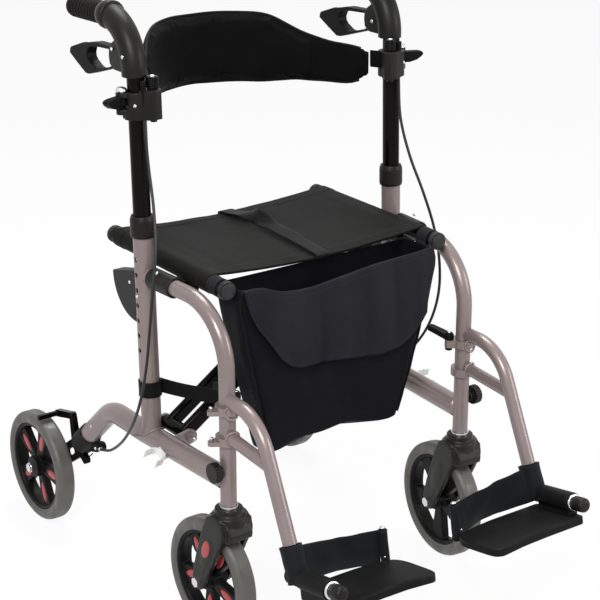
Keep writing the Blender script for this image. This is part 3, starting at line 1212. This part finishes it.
# The tie straps are flat webbing from the lower corners of the bag back to the handle posts. Each
# ends in a sewn loop round the post's outer tube.
TIE_POST, TIE_BAG, TIE_STEPS, TIE_W = mm(225.2, 31, 370.6), mm(163.5, -79, 370.6), 24, 0.0246
for side, mirror in SIDES:
    points, faces, uvs = sleeve(post_point(0, 0, 72), post_point(0, 0, 97), 16.45, 1.9, 40, 8, mirror)
    add(side + "_post_loop", points, faces, strap_weave, side + "_side", mirror, uvs)
    tie = []
    for k in range(TIE_STEPS + 1):
        u = k / TIE_STEPS
        slack = 4 * u * (1 - u)
        tie.append(TIE_POST.lerp(TIE_BAG, u) + mm(1.5 * slack, 1.0 * slack, -2.6 * slack))
    tie_across = [Vector((0.10 * sin(5 * k / TIE_STEPS), 0.06, 1)) for k in range(TIE_STEPS + 1)]
    points, faces, uvs = ribbon(tie, tie_across, TIE_W, 0.0019, 8)
    tie_strap = add(side + "_post_tie", points, faces, strap_weave, None, mirror, uvs)
    if side == "right":
        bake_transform(tie_strap)
    else:
        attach(tie_strap, "left_side")
        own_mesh(tie_strap)
    length_of(tie)

# The backrest is a foam-filled band in black nylon that curves behind the user between the
# clamps. It is narrow at its ends, bound along both edges, and sleeved on the upright pins.
rest_weave = woven("rest_weave", (0.0012, 0.0012, 0.0013, 1), (0.0042, 0.0041, 0.0041, 1), 0.0016, 0.66, 0.01,
                   "Object")
REST_X, REST_Y, REST_DEPTH, REST_POWER = 212.0, 52.0, 228.0, 2.2
REST_LOW, REST_HIGH, TIP_LOW, TIP_HIGH, REST_PAD, TIP_T = 777.0, 903.0, 810.0, 851.0, 20.0, 5.0


def eased(t):
    """A soft step from 0 to 1."""
    t = max(0.0, min(1.0, t))
    return t * t * (3 - 2 * t)


def rest_station(t):
    """The band at t from -1 to 1: plan point, outward way, lower and upper height, half thickness."""
    x, y = REST_X * t, REST_Y + REST_DEPTH * (1 - abs(t) ** REST_POWER)
    slope = -REST_DEPTH * REST_POWER * abs(t) ** (REST_POWER - 1) * (1 if t > 0 else -1) / REST_X
    out = Vector((-slope, 1, 0)).normalized()
    narrow, tip = eased((abs(x) - 104) / 84), eased((abs(t) - 0.92) / 0.08)
    low, high = REST_LOW + 12 * narrow, REST_HIGH - 44 * narrow
    low, high = low + (TIP_LOW - low) * tip, high + (TIP_HIGH - high) * tip
    return Vector((x, y, 0)), out, low, high, (TIP_T + (REST_PAD - TIP_T) * (1 - narrow)) / 2


rest_steps = [sin(pi / 2 * k / 60) * 0.985 for k in range(-60, 61)]
REST_LOOP, REST_CELL = 32, 0.004
points, faces = [], []
for t in rest_steps:
    p, out, low, high, half = rest_station(t)
    for k in range(REST_LOOP):
        a = 2 * pi * (k + 0.5) / REST_LOOP
        bulge = abs(sin(a)) ** 0.6 * (1 if sin(a) > 0 else -1) * max(half - 1.6, 3.6)
        rise = abs(cos(a)) ** 0.8 * (1 if cos(a) > 0 else -1) * ((high - low) / 2 - 1.8)
        points.append((p + out * bulge + Vector((0, 0, (low + high) / 2 + rise))) * 0.001)
for i in range(len(rest_steps) - 1):
    faces += hoop(i * REST_LOOP, (i + 1) * REST_LOOP, REST_LOOP)
last = (len(rest_steps) - 1) * REST_LOOP
faces += [tuple(range(REST_LOOP))[::-1], tuple(range(last, last + REST_LOOP))]
back_pad = add("back_pad", points, faces, rest_weave, None, 1)
shell = bmesh.new()
shell.from_mesh(back_pad.data)
bmesh.ops.recalc_face_normals(shell, faces=shell.faces)
shell.to_mesh(back_pad.data)
shell.free()
remesh = back_pad.modifiers.new("cells", "REMESH")
remesh.mode, remesh.voxel_size, remesh.use_smooth_shade = "VOXEL", REST_CELL, True
bake(back_pad)
SWELL_STEPS, SWELL_MOST, GRIP_FROM, GRIP_OVER = 20, 0.006, 0.150, 0.045
held = back_pad.vertex_groups.new(name="held")
for v in back_pad.data.vertices:
    grip = eased((abs(v.co.x) - GRIP_FROM) / GRIP_OVER)
    if grip > 0:
        held.add([v.index], grip, "REPLACE")
rest_shape = read(back_pad.data, "co")
cloth = back_pad.modifiers.new("cloth", "CLOTH")
cloth.settings.use_pressure, cloth.settings.uniform_pressure_force = True, 4.0
cloth.settings.tension_stiffness = cloth.settings.compression_stiffness = 18
cloth.settings.bending_stiffness = 0.6
cloth.settings.mass, cloth.settings.quality = 0.25, 6
cloth.settings.vertex_group_mass = "held"
cloth.settings.effector_weights.gravity = 0
cloth.collision_settings.use_collision = False
cloth.point_cache.frame_start, cloth.point_cache.frame_end = 1, SWELL_STEPS
for step in range(1, SWELL_STEPS + 1):
    scene.frame_set(step)
bake(back_pad)
scene.frame_set(1)
shift = read(back_pad.data, "co") - rest_shape
size = np.maximum(np.linalg.norm(shift, axis=1), 1e-9)
swollen = rest_shape + shift * np.minimum(1, SWELL_MOST / size)[:, None]
back_pad.data.vertices.foreach_set("co", swollen.ravel())
back_pad.data.update()
back_pad.vertex_groups.clear()
finer = back_pad.modifiers.new("finer", "SUBSURF")
finer.levels = finer.render_levels = 1
bake(back_pad)
back_pad.data.materials.clear()
back_pad.data.materials.append(rest_weave.material)
back_pad.data.polygons.foreach_set("use_smooth", [True] * len(back_pad.data.polygons))

rest_place = read(back_pad.data, "co")
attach(back_pad, "right_handle")
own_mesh(back_pad)
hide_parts("backrest")
for name, upper in (("top", True), ("bottom", False)):
    edge = []
    for t in np.linspace(-0.955, 0.955, 80):
        p, out, low, high, half = rest_station(t)
        here, along = np.array(p * 0.001), Vector((out.y, -out.x, 0))
        near = rest_place[np.abs((rest_place - here) @ np.array(along)) < 0.0035]
        near = near[np.abs((near - here) @ np.array(out)) < 0.03]
        z = (near[:, 2].max() if upper else near[:, 2].min()) if len(near) else (high if upper else low) * 0.001
        mid = near[np.abs(near[:, 2] - z) < 0.0022].mean(0) if len(near) else here
        edge.append(Vector((mid[0], mid[1], z)))
    for turn in range(3):
        edge = [edge[0]] + [(a + b * 2 + c) / 4 for a, b, c in zip(edge, edge[1:], edge[2:])] + [edge[-1]]
    points, faces = swept(edge, 0.0023, 10)
    binding = add("back_binding_" + name, points, faces, strap_weave, "right_handle", 1)
    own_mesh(binding)
TONGUE_H, TONGUE = 552.5, ((-19, -13), (-25, -4), (-30, 5), (-32.5, 13))
for side, mirror in SIDES:
    points, faces, uvs = sleeve(post_point(*KNUCKLE, 536.6), post_point(*KNUCKLE, 568.4), 5.4, 2.9, 28, 8, mirror)
    pin_sleeve = add(side + "_back_sleeve", points, faces, strap_weave, None, mirror, uvs)
    tongue = [post_point(x, y, TONGUE_H) for x, y in TONGUE]
    points, faces, uvs = ribbon(tongue, [Vector((0, 0, 1))] * len(tongue), 0.0275, 0.0046, 8)
    tongue_piece = add(side + "_back_tongue", points, faces, rest_weave, None, mirror, uvs)
    for piece in (pin_sleeve, tongue_piece):
        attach(piece, side + "_handle")

# The fasteners: plated rivets, pan-head screws and pins set into the tubes and mouldings. One
# turned head stands for each kind, and every head points out of the piece that it holds.


class Tree:
    """A Geometry Nodes tree under construction, with named inputs."""

    def __init__(self, name, **sizes):
        self.group = bpy.data.node_groups.new(name, "GeometryNodeTree")
        self.group.interface.new_socket("Geometry", in_out="INPUT", socket_type="NodeSocketGeometry")
        self.keys = {}
        for size in sizes:
            kind = "NodeSocketMaterial" if size == "Finish" else "NodeSocketFloat"
            socket = self.group.interface.new_socket(size, in_out="INPUT", socket_type=kind)
            self.keys[size] = socket.identifier
        self.group.interface.new_socket("Geometry", in_out="OUTPUT", socket_type="NodeSocketGeometry")
        self.source = self.group.nodes.new("NodeGroupInput")
        self.sizes = sizes

    def given(self, name):
        """The value of one of the tree's inputs."""
        return Value(self.source.outputs[name])

    def bake_on(self, made):
        """Runs the tree on a mesh object and leaves a plain mesh."""
        worker = made.modifiers.new("make", "NODES")
        worker.node_group = self.group
        for size, value in self.sizes.items():
            worker[self.keys[size]] = value
        bake(made)

    def close(self, geometry):
        """Ends the tree: real copies, then the finish."""
        real = geometry.node("GeometryNodeRealizeInstances", {}, {"Geometry": geometry})
        coated = real.node("GeometryNodeSetMaterial", {}, {"Geometry": real, "Material": self.given("Finish")})
        end = self.group.nodes.new("NodeGroupOutput")
        self.group.links.new(coated.socket, end.inputs[0])
        return self


def head_tree(name, radius, height, finish, sides=20):
    """A domed head of a rivet or screw on every point, turned along the point's aim."""
    tree = Tree(name, Radius=radius, Height=height, Finish=finish.material)
    broad = tree.given("Radius")
    ball = broad.node("GeometryNodeMeshUVSphere", {}, {"Segments": sides, "Rings": 12, "Radius": 1.0})
    dome = ball.node("GeometryNodeTransform", {}, {
        "Geometry": ball, "Scale": broad.node("CombineXYZ", {}, {"X": broad, "Y": broad, "Z": tree.given("Height")})})
    aim = dome.node("GeometryNodeInputNamedAttribute", {"data_type": "FLOAT_VECTOR"}, {"Name": "aim"})
    turn = aim.node("FunctionNodeAlignRotationToVector", {"axis": "Z"}, {"Vector": aim})
    heads = dome.node("GeometryNodeInstanceOnPoints", {}, {
        "Points": tree.given("Geometry"), "Instance": dome, "Rotation": turn})
    soft = heads.node("GeometryNodeSetShadeSmooth", {}, {"Geometry": heads})
    return tree.close(soft)


def fasteners(name, spots, radius, height, body, mirror):
    """Plated heads at pairs of place and aim, given as if on the left."""
    made = add(name, [p for p, _ in spots], [], bright_steel, None, mirror)
    aim = made.data.attributes.new("aim", "FLOAT_VECTOR", "POINT")
    ways = [way.normalized() for _, way in spots]
    aim.data.foreach_set("vector", [c for way in ways for c in (way.x * mirror, way.y, way.z)])
    head_tree(name, radius * 0.001, height * 0.001, bright_steel).bake_on(made)
    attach(made, body)


OUT, AHEAD, UP = Vector((1, 0, 0)), Vector((0, -1, 0)), Vector((0, 0, 1))
FASTENERS = (
    ("_frame_rivets", "_side", 3.0, 1.5, (
        (post_point(16.1, 0, 240), OUT), (post_point(15.0, -5.6, 338), OUT * 0.93 + AHEAD * 0.35),
        (mm(254.0, 66, 540), OUT), (mm(252.2, -15, 578), OUT * 0.8 + UP * 0.6))),
    ("_bracket_bolts", "_side", 3.4, 1.8, (
        (mm(260.9, 201.5, 243.5), OUT), (mm(244.3, 222.5, 190.0), OUT), (mm(226.0, 300.0, 172.1), -OUT))),
    ("_brake_pivot", "_brake_arm", 5.6, 2.6, ((mm(244.6, 300.0, 172.1), OUT),)),
    ("_housing_screws", "_handle", 3.2, 1.5, (
        (post_point(18.6, 5, 616), OUT), (post_point(14.4, 44, 622), OUT), (post_point(-14.6, 33, 609), -OUT))),
    ("_clamp_rivet", "_handle", 2.6, 1.2, ((post_point(13.5, -17.0, 545), OUT * 0.6 + AHEAD * 0.8),)),
    ("_collar_pins", "_hanger", 3.2, 1.7, (
        (mm(256.0, -169.0, 410.6), UP), (mm(256.0, -169.0, 360.6), UP), (mm(209, -165, 424.2), UP))),
    ("_strap_pin_tip", "_footplate", 4.4, 2.4, (
        (foot_point(*PIN, 26.0), foot_point(0, 0, 1) - foot_point(0, 0, 0)),)),
    ("_strap_rivets", "_footplate", 1.9, 0.9, ((foot_point(-158.6, -12.6, -18.0), AHEAD),)))
for side, mirror in SIDES:
    for name, body, radius, height, spots in FASTENERS:
        fasteners(side + name, spots, radius, height, side + body, mirror)
HINGE_BOLTS = ((mm(RAIL_X, -34.6, 293), AHEAD), (mm(RAIL_X, 90.6, 293), -AHEAD))
for brace, brace_mirror in (("brace_right", -1), ("brace_left", 1)):
    fasteners(brace + "_hinge_bolts", HINGE_BOLTS, 4.2, 2.4, brace, brace_mirror)

# The stitches are lockstitch in black thread. Rows run along the seat's hems and its turned-under
# edges, and round the rim of the bag's flap.
thread_black = Finish("thread_black", specular_ior_level=0.2)
thread_twist = thread_black.noise(2600, 2)
thread_black.wear(base_color=thread_twist.mix((0.012, 0.012, 0.013, 1), (0.036, 0.035, 0.036, 1)),
                  roughness=0.5 + thread_twist * 0.2)
STITCH_L, STITCH_R, STITCH_PITCH = 0.0013, 0.00034, 0.0036


def stitch_tree(name, length, radius, pitch, finish):
    """Short rounded threads laid along a line of points at an even pitch."""
    tree = Tree(name, Length=length, Radius=radius, Pitch=pitch, Finish=finish.material)
    line = tree.given("Geometry").node("GeometryNodeMeshToCurve", {}, {"Mesh": tree.given("Geometry")})
    spots = line.node("GeometryNodeResampleCurve", {"mode": "LENGTH"}, {"Curve": line, "Length": tree.given("Pitch")})
    heading = spots.node("GeometryNodeInputTangent")
    turn = heading.node("FunctionNodeAlignRotationToVector", {"axis": "X"}, {"Vector": heading})
    ball = spots.node("GeometryNodeMeshIcoSphere", {}, {"Radius": 1.0, "Subdivisions": 2})
    thin = tree.given("Radius")
    thread = ball.node("GeometryNodeTransform", {}, {
        "Geometry": ball, "Scale": thin.node("CombineXYZ", {}, {"X": tree.given("Length"), "Y": thin, "Z": thin})})
    laid = thread.node("GeometryNodeInstanceOnPoints", {}, {"Points": spots, "Instance": thread, "Rotation": turn})
    return tree.close(laid.node("GeometryNodeSetShadeSmooth", {}, {"Geometry": laid}))


def stitches(name, runs):
    """Stitches along several lines of points."""
    points, edges = [], []
    for run in runs:
        edges += [(len(points) + k, len(points) + k + 1) for k in range(len(run) - 1)]
        points += [tuple(p) for p in run]
    mesh = bpy.data.meshes.new(name)
    mesh.from_pydata(points, edges, [])
    made = bpy.data.objects.new(name, mesh)
    scene.collection.objects.link(made)
    stitch_tree(name, STITCH_L, STITCH_R, STITCH_PITCH, thread_black).bake_on(made)
    made.data.materials.clear()
    made.data.materials.append(thread_black.material)
    return made


def on_seat(x, y):
    """A point on the seat's upper face, in metres."""
    rise, doubled = seat_rise(y, x)
    return mm(x, y, seat_height(x) + rise + CLOTH_T * doubled / 2 + 0.1)


seat_runs = [[on_seat(x, y) for x in np.linspace(-186, 186, 90)]
             for y in (SEAT_FRONT + 4, SEAT_FRONT + 20, SEAT_REAR - 4, SEAT_REAR - 20)]
seat_runs += [[on_seat(x, y) for y in np.linspace(SEAT_FRONT + 4, SEAT_REAR - 4, 70)] for x in (-183, -178, 178, 183)]
seat_thread = stitches("seat_stitches", seat_runs)
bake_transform(seat_thread)
FLAP_TOP_SEAM = 5


def on_flap(r, c):
    """A point just in front of the flap's outer face."""
    return flap_points[r * (FLAP_COLUMNS + 1) + c] + mm(0, -0.1, 0)


flap_runs = [[on_flap(r, c) for c in range(2, FLAP_COLUMNS - 1)] for r in (FLAP_ROWS - 1, FLAP_TOP_SEAM)]
flap_runs += [[on_flap(r, c) for r in range(FLAP_TOP_SEAM, FLAP_ROWS)] for c in (1, FLAP_COLUMNS - 1)]
flap_thread = stitches("bag_stitches", flap_runs)
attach(flap_thread, "bag")
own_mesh(flap_thread)
